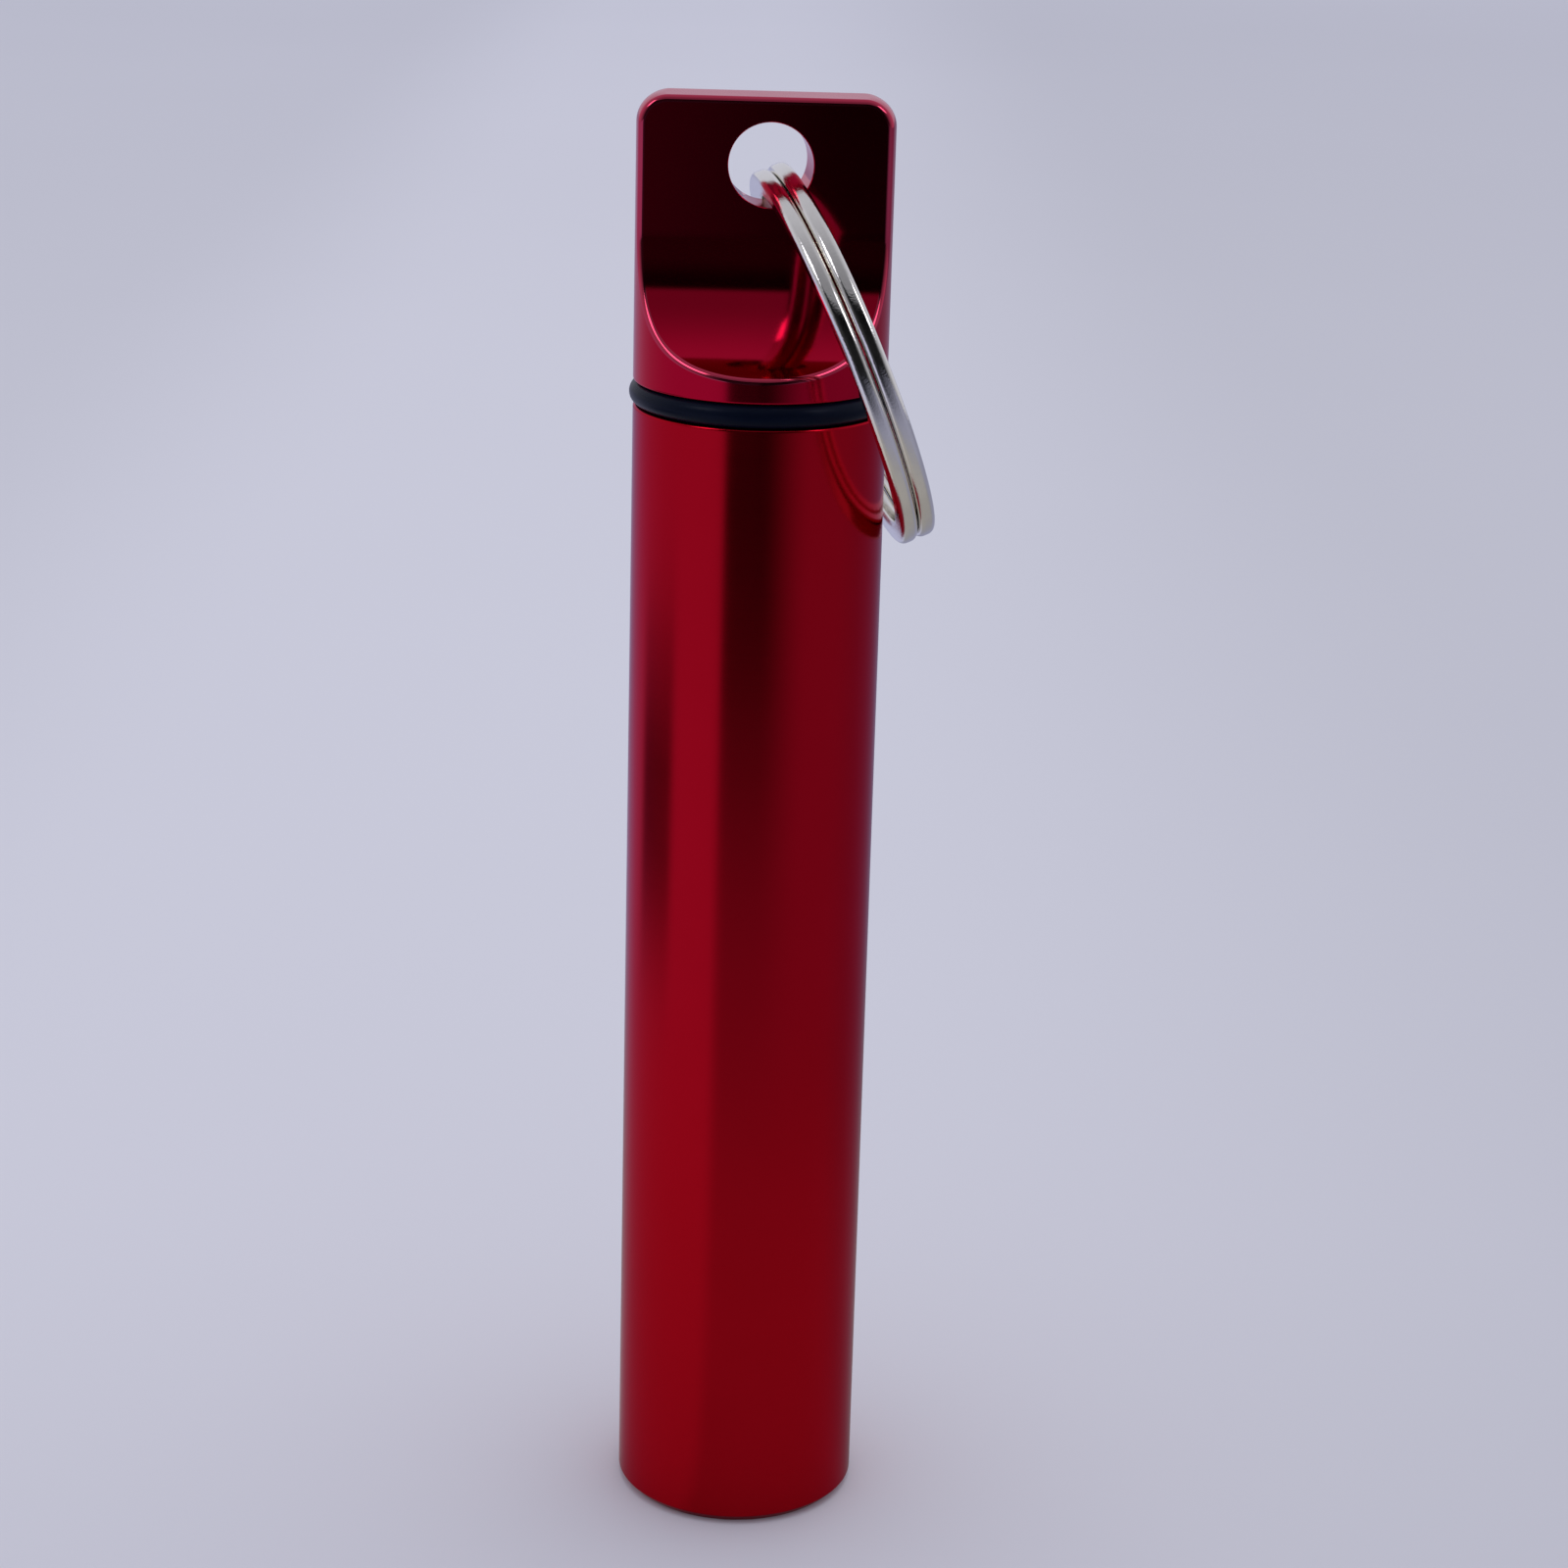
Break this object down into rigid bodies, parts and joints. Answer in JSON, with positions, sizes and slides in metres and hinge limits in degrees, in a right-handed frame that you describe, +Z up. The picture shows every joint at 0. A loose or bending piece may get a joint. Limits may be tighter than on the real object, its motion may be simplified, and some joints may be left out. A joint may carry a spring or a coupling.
{
  "type": "pill fob keychain",
  "caption": "Slim round metal pill fob: blind tube, screw cap with a flat holed tab between two scoops, O-ring seal and a split key ring.",
  "frame": {"origin": "centre of the tube's flat base", "axes": "+Z up along the tube; X across the flat tab, with the split ring hanging at +X; Y through the thickness of the tab"},
  "size_m": [0.0193, 0.0249, 0.0943],
  "materials": {
    "red_anodised": "bright red anodised, satin gloss",
    "black_rubber": "smooth, slightly glossy",
    "nickel_plate": "bright nickel plate on steel"
  },
  "bodies": {
    "tube": {"capsule_tube": "red_anodised"},
    "seal": {"o_ring": "black_rubber"},
    "cap": {"screw_cap": "red_anodised"},
    "ring": {"split_ring": "nickel_plate"}
  },
  "joints": [
    {"name": "cap_rise", "type": "slide", "parent": "tube", "child": "seal", "axis": [0, 0, 1], "range_m": [0, 0.0075]},
    {"name": "cap_turn", "type": "hinge", "parent": "seal", "child": "cap", "pos_m": [0, 0, 0.0765], "axis": [0, 0, 1], "range_deg": [0, 2160]},
    {"name": "ring_swing", "type": "hinge", "parent": "cap", "child": "ring", "pos_m": [0.00015, 0, 0.0902], "axis": [0.1002, -0.995, 0], "range_deg": [0, 314.5]}
  ],
  "couplings": [
    {"joint": "cap_rise", "follows": "cap_turn", "m_per_rad": 0.00019894}
  ]
}
